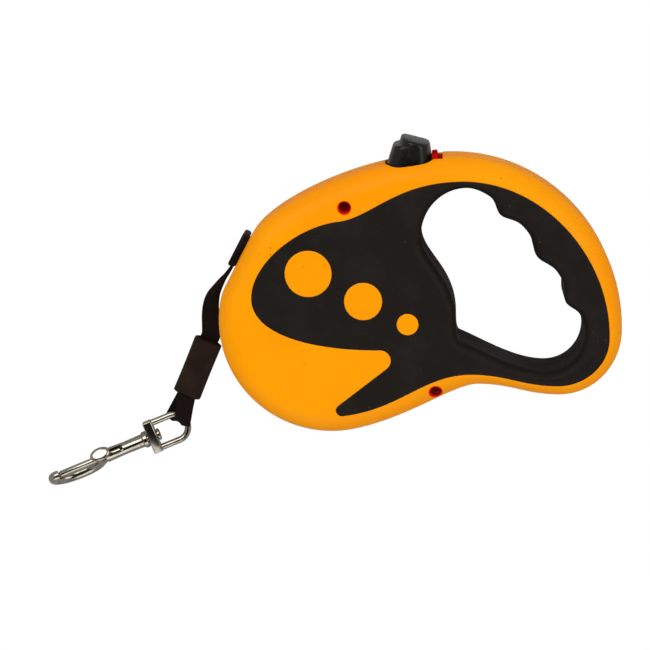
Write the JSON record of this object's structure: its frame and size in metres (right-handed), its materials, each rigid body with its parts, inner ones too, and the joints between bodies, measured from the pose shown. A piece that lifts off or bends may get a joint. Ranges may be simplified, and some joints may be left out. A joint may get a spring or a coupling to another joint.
{
  "type": "retractable leash",
  "caption": "Hand-held retractable leash with a two-part moulded housing, a rubber grip around the hand opening, a sprung tape reel, a push brake with a lock slide and a swivel bolt snap.",
  "frame": {"origin": "on the reel's axis, where it meets the flat rear face that the leash lies on", "axes": "+X from the reel to the handle, +Y from the reel to the brake button's side, +Z from the rear face to the front face"},
  "size_m": [0.2399, 0.1505, 0.032],
  "materials": {
    "orange_plastic": "satin",
    "black_rubber": "matte",
    "black_plastic": "satin",
    "grey_plastic": "satin",
    "red_plastic": "satin",
    "black_webbing": "matte",
    "steel": "satin",
    "nickel": "polished"
  },
  "bodies": {
    "housing": {"front_shell": "orange_plastic", "rear_shell": "orange_plastic", "front_grip": "black_rubber", "rear_grip": "black_rubber", "axle": "steel", "mainspring": "steel", "tape_outlet": "black_plastic", "housing_screw_1": "steel", "housing_screw_2": "steel", "pawl_pin": "steel", "lead_tape": "black_webbing", "tape_sleeve": "black_rubber", "loop_webbing": "black_webbing"},
    "reel": {"reel_drum": "grey_plastic", "reel_cover": "grey_plastic", "wound_tape": "black_webbing"},
    "lock": {"lock_slide": "red_plastic", "button_spring": "steel"},
    "button": {"brake_button": "black_plastic"},
    "pawl": {"brake_pawl": "grey_plastic"},
    "eye": {"snap_eye": "nickel"},
    "hook": {"snap_hook": "nickel", "bolt_spring": "steel"},
    "bolt": {"snap_bolt": "nickel"}
  },
  "joints": [
    {"name": "reel_spin", "type": "hinge", "parent": "housing", "child": "reel", "pos_m": [0, 0, 0.016], "axis": [0, 0, 1], "continuous": true, "deforming": ["mainspring"]},
    {"name": "lock_travel", "type": "slide", "parent": "housing", "child": "lock", "axis": [0.9909, 0.1345, 0], "range_m": [0, 0.002]},
    {"name": "brake_press", "type": "slide", "parent": "lock", "child": "button", "axis": [0.1345, -0.9909, 0], "range_m": [0, 0.0025], "stiffness_N_per_m": 600, "deforming": ["button_spring"]},
    {"name": "pawl_swing", "type": "hinge", "parent": "housing", "child": "pawl", "pos_m": [0.02, 0.0495, 0.016], "axis": [0, 0, 1], "range_deg": [-11.75, 0]},
    {"name": "eye_turn", "type": "hinge", "parent": "housing", "child": "eye", "pos_m": [-0.0677, -0.0503, 0.0047], "axis": [0.1245, 0.0495, 0.991], "range_deg": [0, 40]},
    {"name": "snap_swivel", "type": "hinge", "parent": "eye", "child": "hook", "pos_m": [-0.07875, -0.0547, 0.00631], "axis": [-0.9208, -0.3664, 0.134], "continuous": true},
    {"name": "bolt_slide", "type": "slide", "parent": "hook", "child": "bolt", "axis": [0.9208, 0.3664, -0.134], "range_m": [0, 0.006], "stiffness_N_per_m": 400, "deforming": ["bolt_spring"]}
  ],
  "couplings": [
    {"joint": "pawl_swing", "follows": "brake_press", "rad_per_m": -81.68}
  ]
}
